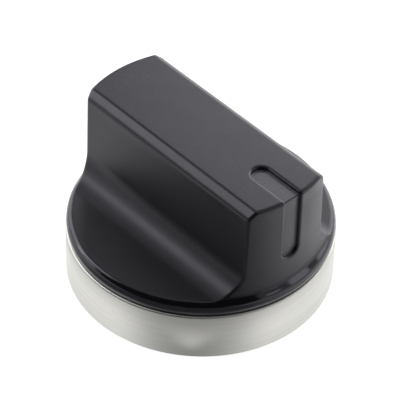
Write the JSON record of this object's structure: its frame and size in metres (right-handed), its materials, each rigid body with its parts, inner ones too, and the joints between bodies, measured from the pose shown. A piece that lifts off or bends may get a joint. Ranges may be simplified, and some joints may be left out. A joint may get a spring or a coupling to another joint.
{
  "type": "stove knob",
  "caption": "Round cooker knob with a straight finger bar, scooped sides, a pointer slot, a steel band round its skirt and a D-shaped spindle socket underneath.",
  "frame": {"origin": "centre of the steel band's lower edge, on the knob's turning axis, in the plane that faces the cooker", "axes": "+Z along the turning axis, away from the cooker; the pointer end of the bar looks along -Y; +X to the right seen from the pointer end"},
  "size_m": [0.05, 0.05, 0.0322],
  "materials": {
    "black_plastic": "fine-grained satin, polished on the bead",
    "steel_band": "brushed round the band",
    "spring_steel": "rolled strip"
  },
  "bodies": {
    "root": {"knob_body": "black_plastic", "trim_ring": "steel_band", "spindle_spring": "spring_steel"}
  },
  "joints": []
}
